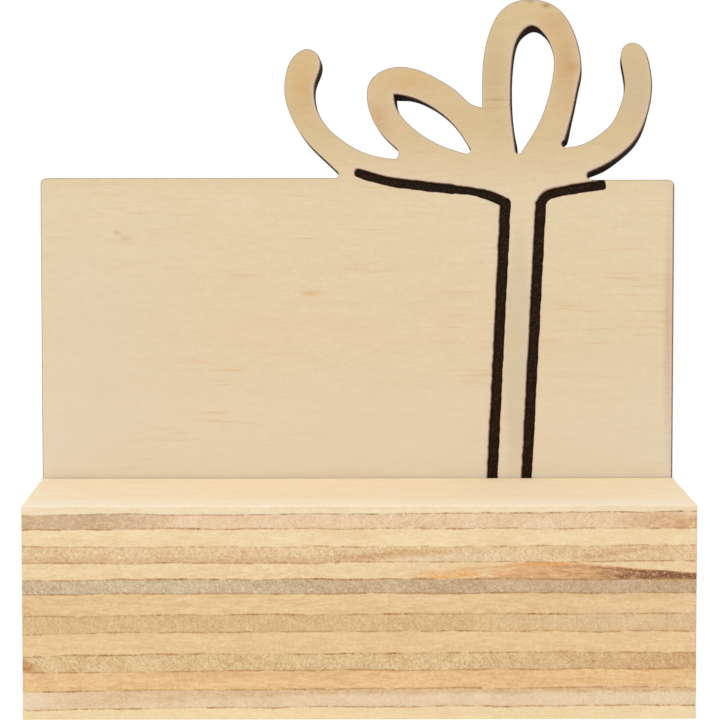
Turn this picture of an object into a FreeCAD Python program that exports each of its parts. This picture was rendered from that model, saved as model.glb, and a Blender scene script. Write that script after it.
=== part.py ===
import FreeCAD, Part
import os
from FreeCAD import Vector

# A photo holder: a block of thick plywood with a sawn slot across its top, and a thin
# laser-cut plywood panel, shaped as a gift box with a bow, that stands in the slot.
# Millimetres. +X is right, +Z is up and the front faces -Y.
# The origin is the middle of the block's underside.

# Block
block_width = 100.0
shelf_depth = 30.0
rear_depth = 11.5

# Plies of the block. The slot goes through the first few, down to a glue line
face_ply = 1.65
upper_ply = 2.45
thin_ply = 2.15
thick_ply = 3.05
lower_ply = 2.62
deep_ply = 2.9
plies_from_top = [
    face_ply, upper_ply, upper_ply, upper_ply, upper_ply, thin_ply, thick_ply,
    lower_ply, thick_ply, lower_ply, lower_ply, deep_ply, face_ply,
]
slotted_plies = 4

# Panel, which stops just short of the block's ends
panel_end_inset = 0.25
panel_rise = 47.4
shoulder_drop = 0.3
panel_corner_radius = 1.0
face_veneer = 0.8
core_veneer = 1.4

# Room in the slot, for a print in front of the panel and behind it to slide
photo_gap = 0.4
back_gap = 0.1

# Bow on the panel's top edge
bow_width = 57.7
bow_height = 27.9
bow_right_inset = 3.6

# The laser's cut leans: from front to back it drops, and it drifts to the right, which
# dies out over the last stretch before the block's right end
cut_drop = 0.76
cut_drift = 0.43
drift_fade = 22.0

# Burnt ribbon lines in the front veneer
line_width = 1.35
leg_width = 1.53
line_burn = 0.3
left_line_drift = 1.94
right_line_drift = 2.06

# A cutting tool runs past the wood by this much
overrun = 1.0

# Worked out from the sizes above
block_height = sum(plies_from_top)
panel_thickness = face_veneer + core_veneer + face_veneer
slot_width = photo_gap + panel_thickness + back_gap
block_depth = shelf_depth + slot_width + rear_depth
block_front = -block_depth / 2
slot_front = block_front + shelf_depth
slot_back = slot_front + slot_width
slot_depth = sum(plies_from_top[:slotted_plies])
slot_floor = block_height - slot_depth
panel_front = slot_front + photo_gap
panel_width = block_width - 2 * panel_end_inset
panel_left = -panel_width / 2
panel_right = panel_width / 2
panel_top = block_height + panel_rise
shoulder_top = panel_top - shoulder_drop
bow_left = panel_right - bow_right_inset - bow_width

# The bow's front outline, as shares of the bow's width and height from its lower left.
# It runs from the notch at the left, over the curls and loops, to the notch at the right,
# and each stretch starts where the one before it ends.
bow_start_share = (0.141, 0.000)
left_notch_shares = [(0.148, 0.016), (0.144, 0.035)]
left_curl_shares = [
    (0.116, 0.091), (0.089, 0.143), (0.060, 0.207), (0.034, 0.284), (0.014, 0.371),
    (0.002, 0.464), (0.003, 0.560), (0.019, 0.661), (0.041, 0.708), (0.063, 0.723),
    (0.081, 0.712), (0.094, 0.676), (0.097, 0.630), (0.088, 0.574), (0.079, 0.526),
    (0.077, 0.464), (0.087, 0.385), (0.109, 0.308), (0.150, 0.224), (0.205, 0.153),
    (0.254, 0.120), (0.303, 0.106),
]
second_notch_shares = [(0.311, 0.131), (0.305, 0.166)]
small_loop_shares = [
    (0.268, 0.239), (0.236, 0.351), (0.225, 0.458), (0.231, 0.532), (0.260, 0.594),
    (0.314, 0.623), (0.369, 0.603), (0.423, 0.549), (0.478, 0.470), (0.505, 0.419),
    (0.538, 0.395),
]
big_loop_shares = [
    (0.538, 0.492), (0.539, 0.605), (0.546, 0.729), (0.560, 0.831), (0.587, 0.932),
    (0.620, 0.982), (0.669, 1.000), (0.710, 0.987), (0.751, 0.935), (0.784, 0.831),
    (0.803, 0.707), (0.809, 0.594), (0.805, 0.521), (0.792, 0.409), (0.776, 0.296),
    (0.764, 0.210),
]
third_notch_shares = [(0.757, 0.187), (0.770, 0.171)]
right_curl_shares = [
    (0.806, 0.185), (0.833, 0.210), (0.861, 0.249), (0.888, 0.300), (0.915, 0.413),
    (0.925, 0.520), (0.918, 0.622), (0.915, 0.695), (0.923, 0.736), (0.945, 0.758),
    (0.970, 0.738), (0.992, 0.644), (1.000, 0.526), (0.997, 0.436), (0.984, 0.328),
    (0.957, 0.214), (0.913, 0.124), (0.872, 0.069), (0.832, 0.032),
]
right_notch_share = (0.826, 0.010)
right_notch_foot_share = 0.837

# The holes in the two loops, each a smooth run round to its narrow tip
small_hole_start_share = (0.299, 0.468)
small_hole_shares = [
    [(0.317, 0.464), (0.363, 0.444), (0.418, 0.387), (0.460, 0.308), (0.487, 0.226),
     (0.502, 0.174)],
    [(0.506, 0.149), (0.495, 0.136)],
    [(0.451, 0.163), (0.396, 0.214), (0.347, 0.286), (0.314, 0.362), (0.302, 0.419),
     (0.299, 0.468)],
]
big_hole_start_share = (0.646, 0.148)
big_hole_shares = [
    [(0.669, 0.221), (0.697, 0.328), (0.716, 0.438), (0.730, 0.571), (0.733, 0.650),
     (0.723, 0.746), (0.701, 0.819), (0.673, 0.852), (0.646, 0.814), (0.627, 0.735),
     (0.619, 0.628), (0.617, 0.481), (0.621, 0.357), (0.626, 0.261), (0.633, 0.152)],
    [(0.638, 0.137), (0.646, 0.148)],
]

# The middle of each ribbon line, from its free end to the turn where it runs down
left_line_shares = [
    (0.204, 0.026), (0.260, -0.009), (0.314, -0.031), (0.369, -0.044), (0.423, -0.057),
    (0.478, -0.068), (0.533, -0.086), (0.566, -0.107), (0.603, -0.141),
]
right_line_shares = [
    (0.863, -0.042), (0.833, -0.050), (0.779, -0.068), (0.740, -0.084), (0.713, -0.105),
    (0.699, -0.148),
]
line_steps = 24


def bow_point(share):
    """Place of a share pair on the panel's front face, as (x, z)."""
    return (bow_left + share[0] * bow_width, panel_top + share[1] * bow_height)


def bow_points(shares):
    return [bow_point(share) for share in shares]


def chain(start, runs):
    """Stretches from runs of points, where each run goes on from the last point before it."""
    stretches = []
    for run in runs:
        stretches.append([start] + run)
        start = run[-1]
    return stretches


def corner_arc(centre_x, centre_z, radius, across):
    """The middle of a quarter arc up and to one side of its centre."""
    reach = radius / 2 ** 0.5
    return (centre_x + across * reach, centre_z + reach)


def panel_outline():
    """The panel's front outline, clockwise from its lower left."""
    radius = panel_corner_radius
    left_in = panel_left + radius
    right_in = panel_right - radius
    left_top = panel_top - radius
    right_top = shoulder_top - radius
    foot = (panel_left, slot_floor)
    notch_foot = (bow_left + right_notch_foot_share * bow_width, shoulder_top)
    runs = [
        [(panel_left, left_top)],
        [corner_arc(left_in, left_top, radius, -1), (left_in, panel_top)],
        [bow_point(bow_start_share)],
    ]
    for shares in (left_notch_shares, left_curl_shares, second_notch_shares, small_loop_shares,
                   big_loop_shares, third_notch_shares, right_curl_shares):
        runs.append(bow_points(shares))
    runs += [
        [bow_point(right_notch_share), notch_foot],
        [(right_in, shoulder_top)],
        [corner_arc(right_in, right_top, radius, 1), (panel_right, right_top)],
        [(panel_right, slot_floor)],
        [foot],
    ]
    return chain(foot, runs)


def hole_outlines():
    """The outlines of the two holes in the loops."""
    return [
        chain(bow_point(start), [bow_points(shares) for shares in runs])
        for start, runs in ((small_hole_start_share, small_hole_shares),
                            (big_hole_start_share, big_hole_shares))
    ]


def place(point, depth):
    """A point of the front outline, carried back along the leaning cut to a depth."""
    x, z = point
    through = depth / panel_thickness
    room = (block_width / 2 - x) / drift_fade
    x += cut_drift * through * min(room, 1)
    if z > slot_floor:
        z -= cut_drop * through
    return Vector(x, panel_front + depth, z)


def smooth_edge(places):
    curve = Part.BSplineCurve()
    curve.interpolate(places)
    return curve.toShape()


def edge(points, depth):
    """Two points make a line, three an arc, and more a smooth curve."""
    places = [place(point, depth) for point in points]
    if len(places) == 2:
        return Part.LineSegment(places[0], places[1]).toShape()
    if len(places) == 3:
        return Part.Arc(places[0], places[1], places[2]).toShape()
    return smooth_edge(places)


def leaning_solid(outlines, front, back):
    """The solid between two depths of the leaning cut: an outer outline, then its holes."""
    faces = []
    for stretches in outlines:
        for points in stretches:
            faces.append(Part.makeRuledSurface(edge(points, front), edge(points, back)))
    for depth in (front, back):
        areas = [Part.Face(Part.Wire([edge(points, depth) for points in stretches]))
                 for stretches in outlines]
        cap = areas[0]
        for hole in areas[1:]:
            cap = cap.cut(hole)
        faces += cap.Faces
    shell = Part.makeShell(faces)
    shell.sewShape()
    solid = Part.makeSolid(shell)
    if solid.Volume < 0:
        solid.reverse()
    return solid


def line_head(shares, half):
    """The area that a round tool sweeps along the curved part of a ribbon line."""
    curve = Part.BSplineCurve()
    curve.interpolate([Vector(x, panel_front, z) for x, z in bow_points(shares)])
    first, last = curve.FirstParameter, curve.LastParameter
    upper, lower = [], []
    for step in range(line_steps + 1):
        at = first + (last - first) * step / line_steps
        along = curve.tangent(at)[0]
        across = Vector(-along.z, 0, along.x) * half
        upper.append(curve.value(at) + across)
        lower.append(curve.value(at) - across)
    start_tip = curve.value(first) - curve.tangent(first)[0] * half
    end_tip = curve.value(last) + curve.tangent(last)[0] * half
    edges = [
        smooth_edge(upper),
        Part.Arc(upper[-1], end_tip, lower[-1]).toShape(),
        smooth_edge(lower[::-1]),
        Part.Arc(lower[0], start_tip, upper[0]).toShape(),
    ]
    return Part.Face(Part.Wire(edges)), curve.value(last)


def line_leg(turn, half, drift):
    """The straight part of a ribbon line, from its turn down past the panel's lower edge."""
    foot_z = slot_floor - overrun
    foot_x = turn.x - drift * (turn.z - foot_z) / (turn.z - block_height)
    corners = [
        Vector(turn.x - half, panel_front, turn.z),
        Vector(turn.x + half, panel_front, turn.z),
        Vector(foot_x + half, panel_front, foot_z),
        Vector(foot_x - half, panel_front, foot_z),
    ]
    return Part.Face(Part.makePolygon(corners + corners[:1]))


def line_groove(shares, drift):
    head, turn = line_head(shares, line_width / 2)
    leg = line_leg(turn, leg_width / 2, drift)
    burn = Vector(0, line_burn + overrun, 0)
    groove = head.extrude(burn).fuse(leg.extrude(burn)).removeSplitter()
    groove.translate(Vector(0, -overrun, 0))
    return groove


def panel_veneer(front, back):
    return leaning_solid([panel_outline()] + hole_outlines(), front, back)


def front_veneer():
    veneer = panel_veneer(0, face_veneer)
    for shares, drift in ((left_line_shares, left_line_drift),
                          (right_line_shares, right_line_drift)):
        veneer = veneer.cut(line_groove(shares, drift))
    return veneer


def slab(front, back, bottom, top):
    """A sheet as wide as the block."""
    corner = Vector(-block_width / 2, front, bottom)
    return Part.makeBox(block_width, back - front, top - bottom, corner)


def block_plies():
    """Each ply of the block by name, with the slotted ones parted in two strips."""
    pieces = {}
    block_back = block_front + block_depth
    top = block_height
    for number, thickness in enumerate(plies_from_top, 1):
        bottom = top - thickness
        name = "block_ply_%02d" % number
        if number <= slotted_plies:
            pieces[name + "_front_strip"] = slab(block_front, slot_front, bottom, top)
            pieces[name + "_rear_strip"] = slab(slot_back, block_back, bottom, top)
        else:
            pieces[name] = slab(block_front, block_back, bottom, top)
        top = bottom
    return pieces


def panel_veneers():
    core_end = face_veneer + core_veneer
    return {
        "panel_front_veneer": front_veneer(),
        "panel_core": panel_veneer(face_veneer, core_end),
        "panel_back_veneer": panel_veneer(core_end, panel_thickness),
    }


def write_parts(pieces):
    os.makedirs("parts", exist_ok=True)
    for name, shape in pieces.items():
        solids = shape.Solids
        if len(solids) != 1 or not shape.isValid():
            raise ValueError("%s is not one sound solid" % name)
        solids[0].exportStep(os.path.join("parts", name + ".step"))
        box = solids[0].BoundBox
        print("%-26s %9.1f mm3  x %.2f..%.2f  y %.2f..%.2f  z %.2f..%.2f" % (
            name, solids[0].Volume, box.XMin, box.XMax, box.YMin, box.YMax, box.ZMin, box.ZMax))


pieces = block_plies()
pieces.update(panel_veneers())
write_parts(pieces)
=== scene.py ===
import math
from itertools import chain

import bpy
import numpy as np
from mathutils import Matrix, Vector
from mathutils.geometry import delaunay_2d_cdt


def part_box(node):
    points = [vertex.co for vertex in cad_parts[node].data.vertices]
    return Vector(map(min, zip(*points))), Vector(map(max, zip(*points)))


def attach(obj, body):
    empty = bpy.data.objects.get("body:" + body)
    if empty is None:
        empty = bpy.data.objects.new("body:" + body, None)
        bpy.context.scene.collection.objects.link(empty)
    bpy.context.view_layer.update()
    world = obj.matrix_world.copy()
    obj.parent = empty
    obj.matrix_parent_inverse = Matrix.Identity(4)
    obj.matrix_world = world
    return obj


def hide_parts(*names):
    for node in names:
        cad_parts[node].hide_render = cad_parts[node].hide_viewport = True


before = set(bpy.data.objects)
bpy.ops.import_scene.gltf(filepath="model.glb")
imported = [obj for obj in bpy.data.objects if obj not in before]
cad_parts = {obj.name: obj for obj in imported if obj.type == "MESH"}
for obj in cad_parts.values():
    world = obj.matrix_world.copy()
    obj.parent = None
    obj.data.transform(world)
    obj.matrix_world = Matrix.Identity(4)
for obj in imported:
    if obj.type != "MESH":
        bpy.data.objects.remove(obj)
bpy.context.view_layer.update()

# A plywood photo block with a laser-cut gift box panel in its slot. Sizes in the dictionaries
# are millimetres unless they say otherwise, colours are 0 to 255, and meshes are made in metres.
mm = 0.001


# In the node helpers a value that is a socket is linked, and anything else is set
def addNode(tree, kind, settings=None, inputs=None):
    made = tree.nodes.new("ShaderNode" + kind)
    for name, value in (settings or {}).items():
        setattr(made, name, value)
    for name, value in (inputs or {}).items():
        if isinstance(value, bpy.types.NodeSocket):
            tree.links.new(value, made.inputs[name])
        else:
            made.inputs[name].default_value = value
    return made


def calc(tree, operation, first, second=0.0, third=0.0):
    return addNode(tree, "Math", {"operation": operation}, {0: first, 1: second, 2: third}).outputs[0]


def swayed(tree, base, noise, middle, strength):
    # the base, moved by how far the noise lies from its middle
    return calc(tree, "MULTIPLY_ADD", calc(tree, "SUBTRACT", noise, middle), strength, base)


def mixColour(tree, factor, first, second):
    return addNode(tree, "Mix", {"data_type": "RGBA"}, {0: factor, 6: first, 7: second}).outputs[2]


def tinted(tree, factor, colour, shade):
    mixed = addNode(tree, "Mix", {"data_type": "RGBA", "blend_type": "MULTIPLY"}, {
        0: factor, 6: colour, 7: shade})
    return mixed.outputs[2]


def mixValue(tree, factor, first, second):
    return addNode(tree, "Mix", {}, {0: factor, 2: first, 3: second}).outputs[0]


def between(tree, value, low, high, start=0.0, end=1.0):
    # start below low, end above high, and a smooth step from one to the other
    return addNode(tree, "MapRange", {"interpolation_type": "SMOOTHSTEP"}, {
        "Value": value, "From Min": low, "From Max": high, "To Min": start, "To Max": end}).outputs[0]


def stretched(tree, place, scale, turn=(0.0, 0.0, 0.0)):
    return addNode(tree, "Mapping", {}, {"Vector": place, "Scale": scale, "Rotation": turn}).outputs[0]


def cloud(tree, place, scale=1.0, detail=2.0, roughness=0.5, distortion=0.0):
    return addNode(tree, "TexNoise", {}, {
        "Vector": place, "Scale": scale, "Detail": detail, "Roughness": roughness,
        "Distortion": distortion}).outputs[0]


def drawnCloud(tree, place, scale, low, high, detail, roughness=0.5, distortion=0.0):
    # noise drawn out by its scale along each axis, with what lies between low and high spread over 0 to 1
    noise = cloud(tree, stretched(tree, place, scale), 1.0, detail, roughness, distortion)
    return between(tree, noise, low, high)


def tone(colour):
    # a screen colour as the linear values that a node takes, by the sRGB curve
    share = np.array(colour, float) / 255
    linear = np.where(share <= 0.04045, share / 12.92, ((share + 0.055) / 1.055) ** 2.4)
    return (*linear.tolist(), 1.0)


def startGroup(name, inputs, outputs):
    # an empty shader node group: the group, the sockets that feed it and those that it fills
    group = bpy.data.node_groups.new(name, "ShaderNodeTree")
    for label, value in inputs.items():
        kind = "Float" if isinstance(value, float) else "Color" if len(value) == 4 else "Vector"
        socket = group.interface.new_socket(label, in_out="INPUT", socket_type="NodeSocket" + kind)
        socket.default_value = value
    for label, kind in outputs.items():
        group.interface.new_socket(label, in_out="OUTPUT", socket_type="NodeSocket" + kind)
    return group, group.nodes.new("NodeGroupInput").outputs, group.nodes.new("NodeGroupOutput").inputs


def useGroup(tree, group, inputs):
    # the group as one node
    return addNode(tree, "Group", {"node_tree": group}, inputs).outputs


def seeded(tree, place, seed):
    # the same pattern, read from another part of space for each seed
    steps = [calc(tree, "MULTIPLY", seed, step) for step in (0.31, 0.17, 0.23)]
    offset = addNode(tree, "CombineXYZ", {}, {0: steps[0], 1: steps[1], 2: steps[2]}).outputs[0]
    return addNode(tree, "VectorMath", {"operation": "ADD"}, {0: place, 1: offset}).outputs[0]


white = (1.0, 1.0, 1.0, 1.0)
nowhere = (0.0, 0.0, 0.0)
stainTones = {
    "paleHair": (250, 236, 208),
    "pit": (138, 92, 54),
    "resinHair": (222, 184, 142),
    "thinSmoke": (214, 197, 192),
    "thickSmoke": (98, 66, 66),
}

# Resin: each tone sets in from its first amount, is full at its second, and then covers its share
resinSteps = [
    (0.02, 0.42, 0.8, (215, 157, 104)),
    (0.36, 0.78, 0.85, (180, 130, 84)),
    (0.64, 1.12, 0.9, (114, 66, 34)),
]


def buildLongGrain():
    # wood seen along its fibres: cloudy bands and mottling, short streaks and hair-fine fibres, all drawn
    # out along X, and an even dust
    group, given, made = startGroup(
        "longGrain",
        {"Vector": nowhere, "Pale": white, "Deep": white, "Bands": 0.5, "Streaks": 0.5, "Seed": 0.0},
        {"Color": "Color", "Height": "Float"})
    place = seeded(group, given["Vector"], given["Seed"])
    bands = drawnCloud(group, place, (55, 420, 420), 0.3, 0.7, 4, 0.6, 0.5)
    mottle = drawnCloud(group, place, (330, 900, 900), 0.3, 0.7, 4, 0.65, 0.8)
    streaks = drawnCloud(group, place, (420, 2500, 2500), 0.3, 0.7, 3, 0.7, 0.5)
    fibres = drawnCloud(group, place, (1300, 4400, 4400), 0.32, 0.68, 3, 0.75)
    clouds = calc(group, "MULTIPLY_ADD", mottle, 0.6, calc(group, "MULTIPLY", bands, 0.6))
    amount = swayed(group, 0.5, clouds, 0.6, given["Bands"])
    dust = between(group, cloud(group, place, 2600, 2, 0.6), 0.34, 0.66)
    lines = calc(group, "MULTIPLY_ADD", fibres, 0.45, calc(group, "MULTIPLY_ADD", dust, 0.4, calc(
        group, "MULTIPLY", streaks, 0.65)))
    amount = swayed(group, amount, lines, 0.75, given["Streaks"])
    group.links.new(mixColour(group, amount, given["Pale"], given["Deep"]), made["Color"])
    group.links.new(calc(group, "MULTIPLY", lines, 0.66), made["Height"])
    return group


def buildEndGrain():
    # wood seen across its fibres: short tufts, dust and broad blotches, under pale slanted hairs and dark
    # pits. The flat coordinate x + y runs along the front and round the sides alike
    group, given, made = startGroup(
        "endGrain",
        {"Vector": nowhere, "Pale": white, "Deep": white, "Speckle": 0.5, "Flecks": 0.3, "Pits": 0.2,
         "Slant": 0.5, "Seed": 0.0},
        {"Color": "Color", "Height": "Float"})
    place = seeded(group, given["Vector"], given["Seed"])
    parts = addNode(group, "SeparateXYZ", {}, {0: place}).outputs
    flat = addNode(group, "CombineXYZ", {}, {
        0: calc(group, "ADD", parts[0], parts[1]), 1: calc(group, "SUBTRACT", parts[0], parts[1]),
        2: parts[2]}).outputs[0]
    turned = addNode(group, "VectorRotate", {"rotation_type": "Y_AXIS"}, {
        "Vector": flat, "Angle": given["Slant"]}).outputs[0]
    tufts = drawnCloud(group, turned, (820, 820, 1500), 0.3, 0.7, 3, 0.6, 1.7)
    dust = between(group, cloud(group, flat, 3000, 2, 0.6), 0.34, 0.66)
    blotches = drawnCloud(group, flat, (130, 130, 420), 0.3, 0.7, 3)
    grain = calc(group, "MULTIPLY_ADD", dust, 0.4, calc(group, "MULTIPLY", tufts, 0.6))
    contrast = calc(group, "MULTIPLY", given["Speckle"], 1.9)
    amount = swayed(group, 0.5, grain, 0.5, contrast)
    amount = swayed(group, amount, blotches, 0.5, 0.3)
    colour = mixColour(group, amount, given["Pale"], given["Deep"])
    hairs = drawnCloud(group, turned, (1200, 1200, 2600), 0.53, 0.66, 2, 0.5, 2.6)
    hairs = calc(group, "MULTIPLY", hairs, given["Flecks"])
    colour = mixColour(group, hairs, colour, tone(stainTones["paleHair"]))
    holes = addNode(group, "TexVoronoi", {}, {"Vector": flat, "Scale": 1500.0}).outputs[0]
    holes = calc(group, "MULTIPLY", between(group, holes, 0.12, 0.3, 1, 0),
                 between(group, cloud(group, flat, 420, 2), 0.5, 0.62))
    holes = calc(group, "MULTIPLY", holes, given["Pits"])
    colour = mixColour(group, holes, colour, tone(stainTones["pit"]))
    group.links.new(colour, made["Color"])
    height = calc(group, "SUBTRACT", calc(group, "MULTIPLY_ADD", hairs, 0.5, grain), holes)
    height = calc(group, "MULTIPLY", height, 0.35)
    group.links.new(height, made["Height"])
    return group


def buildGlueSeam():
    # the glue line between two plies: brown where it is thin, near black where it gapes
    group, given, made = startGroup(
        "glueSeam", {"Vector": nowhere, "Color": white, "Glue": 0.0, "Thin": white, "Gaping": white},
        {"Color": "Color", "Mask": "Float"})
    crumbs = between(group, cloud(group, given["Vector"], 2300, 3, 0.7), 0.3, 0.7)
    broken = calc(group, "MULTIPLY", given["Glue"], calc(group, "MULTIPLY_ADD", crumbs, 1.5, 0.2))
    mask = between(group, broken, 0.05, 0.5)
    colour = mixColour(group, calc(group, "MULTIPLY", mask, 0.75), given["Color"], given["Thin"])
    colour = mixColour(group, between(group, broken, 0.66, 1.25), colour, given["Gaping"])
    group.links.new(colour, made["Color"])
    group.links.new(mask, made["Mask"])
    return group


def buildResin():
    # a resin streak: light orange brown, then brown, then dark brown as its amount grows, under pale hairs
    group, given, made = startGroup(
        "resinStreak", {"Vector": nowhere, "Color": white, "Resin": 0.0}, {"Color": "Color"})
    drift = drawnCloud(group, given["Vector"], (420, 420, 2300), 0.28, 0.72, 4, 0.7, 0.6)
    drift = calc(group, "SUBTRACT", drift, 0.5)
    present = between(group, calc(group, "MULTIPLY_ADD", drift, 0.2, given["Resin"]), 0.02, 0.42)
    amount = calc(group, "MULTIPLY_ADD", drift, 0.5, given["Resin"])
    colour = given["Color"]
    for start, end, most, shade in resinSteps:
        share = calc(group, "MULTIPLY", present, between(group, amount, start, end, 0, most))
        colour = mixColour(group, share, colour, tone(shade))
    hairs = drawnCloud(group, given["Vector"], (2200, 2200, 3200), 0.52, 0.66, 3, 0.65, 1.2)
    hairs = calc(group, "MULTIPLY", hairs, calc(group, "MULTIPLY", present, 0.7))
    group.links.new(mixColour(group, hairs, colour, tone(stainTones["resinHair"])), made["Color"])
    return group


def buildSoftMark():
    # a soft spot or stroke: the distance from its centre in shares of its half sizes, with a ragged rim.
    # It is full inside the core share and gone at 1
    group, given, made = startGroup(
        "softMark", {"Vector": nowhere, "Centre": nowhere, "Size": nowhere, "Rag": 0.4, "Core": 0.35},
        {"Mask": "Float"})
    away = addNode(group, "VectorMath", {"operation": "SUBTRACT"}, {0: given["Vector"], 1: given["Centre"]})
    shares = addNode(group, "VectorMath", {"operation": "DIVIDE"}, {0: away.outputs[0], 1: given["Size"]})
    length = addNode(group, "VectorMath", {"operation": "LENGTH"}, {0: shares.outputs[0]}).outputs["Value"]
    rim = cloud(group, stretched(group, given["Vector"], (400, 900, 1800)), 1, 3, 0.6)
    length = swayed(group, length, rim, 0.5, given["Rag"])
    group.links.new(between(group, length, given["Core"], 1.0, 1, 0), made["Mask"])
    return group


def buildScorch():
    # laser burn: brown at the rim of a cut, near black on its walls with the beam's fine marks from front
    # to back, and smoke beside it that goes from a dark violet brown to a pale grey
    group, given, made = startGroup(
        "scorch",
        {"Vector": nowhere, "Color": white, "Char": 0.0, "Smoke": 0.0, "Brown": white, "Black": white},
        {"Color": "Color", "Burnt": "Float", "Height": "Float"})
    crumbs = cloud(group, given["Vector"], 3200, 3, 0.6)
    smoke = calc(group, "MULTIPLY", given["Smoke"], calc(group, "MULTIPLY_ADD", crumbs, 0.5, 0.75))
    thin, thick = between(group, smoke, 0.05, 0.45, 0, 0.6), between(group, smoke, 0.3, 0.95, 0, 0.8)
    colour = mixColour(group, thin, given["Color"], tone(stainTones["thinSmoke"]))
    colour = mixColour(group, thick, colour, tone(stainTones["thickSmoke"]))
    ragged = swayed(group, given["Char"], crumbs, 0.5, 0.35)
    colour = mixColour(group, between(group, ragged, 0.1, 0.75, 0, 0.9), colour, given["Brown"])
    burnt = between(group, ragged, 0.72, 1.0)
    combs = cloud(group, stretched(group, given["Vector"], (4200, 260, 4200)), 1, 3, 0.6)
    soot = calc(group, "MULTIPLY", between(group, combs, 0.46, 0.7), 0.1)
    soot = mixColour(group, soot, given["Black"], given["Brown"])
    group.links.new(mixColour(group, burnt, colour, soot), made["Color"])
    group.links.new(burnt, made["Burnt"])
    group.links.new(calc(group, "MULTIPLY", burnt, combs), made["Height"])
    return group


longGrain, endGrain, glueSeam = buildLongGrain(), buildEndGrain(), buildGlueSeam()
resinStreak, softMark, scorch = buildResin(), buildSoftMark(), buildScorch()
print("stage: shared node groups made")


knotCount = 4000


def ripple(along, wavelength, seed):
    # smooth random height between -1 and 1: random knots a wavelength apart, eased from one to the next
    knots = np.random.default_rng(seed).uniform(-1, 1, knotCount)
    at = along / wavelength + knotCount / 2
    left = np.floor(at).astype(int)
    ease = at - left
    ease = ease * ease * (3 - 2 * ease)
    return knots[left] * (1 - ease) + knots[left + 1] * ease


def smoothStep(value, low, high):
    # 0 at low, 1 at high and an eased rise between them, by share squared times 3 less twice the share
    share = np.clip((value - low) / (high - low), 0, 1)
    return share * share * (3 - 2 * share)


def runAlong(points):
    # how far along the line through the points each of them lies
    return np.concatenate([[0], np.cumsum(np.hypot(*np.diff(points, axis=0).T))])


def makePiece(name, points, faces, marks, material, body, nodes, sharp=40):
    # points in millimetres; marks are values per point that the material reads by name
    mesh = bpy.data.meshes.new(name)
    mesh.from_pydata((points * mm).tolist(), [], faces)
    mesh.validate()
    mesh.shade_smooth()
    mesh.set_sharp_from_angle(angle=math.radians(sharp))
    for label, values in marks.items():
        mesh.attributes.new(label, "FLOAT", "POINT").data.foreach_set("value", values.astype(np.float32))
    mesh.materials.append(material)
    piece = bpy.data.objects.new(name, mesh)
    bpy.context.scene.collection.objects.link(piece)
    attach(piece, body)
    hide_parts(*nodes)
    return piece


def newMaterial(name):
    # a material with its node tree, its shader and the object's own coordinates
    material = bpy.data.materials.new(name)
    material.use_nodes = True
    tree = material.node_tree
    shader = tree.nodes["Principled BSDF"]
    place = tree.nodes.new("ShaderNodeTexCoord").outputs["Object"]
    return material, tree, shader, place


def readMark(tree, name):
    return addNode(tree, "Attribute", {"attribute_name": name}).outputs["Fac"]


def finishSurface(tree, shader, colour, roughness, height, distance):
    # the distance is how high in metres a height of 1 stands out
    bump = addNode(tree, "Bump", {}, {"Height": height, "Strength": 1.0, "Distance": distance})
    tree.links.new(colour, shader.inputs["Base Color"])
    tree.links.new(roughness, shader.inputs["Roughness"])
    tree.links.new(bump.outputs[0], shader.inputs["Normal"])


def packedEdge(name, corner, axis):
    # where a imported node's box ends, in millimetres: corner 0 is its low one and 1 its high one
    return round(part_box(name)[corner][axis] / mm, 4)


block = {
    "left": packedEdge("block_ply_05", 0, 0),
    "right": packedEdge("block_ply_05", 1, 0),
    "front": packedEdge("block_ply_05", 0, 1),
    "back": packedEdge("block_ply_05", 1, 1),
    "top": packedEdge("block_ply_01_front_strip", 1, 2),
    "slotFront": packedEdge("block_ply_01_front_strip", 1, 1),
    "slotBack": packedEdge("block_ply_01_rear_strip", 0, 1),
    "cornerRadius": 0.2,       # upright corners
    "outerEase": 0.42,         # rounding of the top edge
    "footEase": 0.12,          # rounding of the bottom edge
    "slotEase": 0.15,          # rounding of the slot's edges
    "slotReach": 0.3,          # how near the slot's edges its rounding is used
    "frontStep": 0.25,         # spacing of the wall's columns
    "sideStep": 0.4,
    "rowStep": 0.3,
    "seamRows": (0.0, 0.05, 0.11, 0.18, 0.27, 0.42),    # rows of the wall beside a glue line
    "seamFade": (1.0, 0.8, 0.4, 0.12, 0.0, 0.0),        # how much of the glue line shows at each
    "plainRow": 1.6,           # first plain row below a rounded edge, in roundings
    "capRim": 1.6,             # the glue face is flat inside this rim
    "waveHeight": 0.11,        # waves of the glue lines
    "waveLength": 7.0,
    "fineWaveHeight": 0.05,
    "fineWaveLength": 2.1,
    "backTilt": 0.25,
    "backWaveLength": 9.0,
    "endWaveHeight": 0.06,
    "endWaveLength": 5.0,
    "waveStop": 1.0,           # the waves have died out this far from the slot
    "seamDepth": 0.07,
    "paintedHighlightReach": 4.0,            # the shelf's painted highlight along its front edge, and the stretch behind it where it fades
    "paintedHighlightFade": 4.5,
    "streakFade": 3.5,         # how deep a streak of the front reaches round the corners
}

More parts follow.
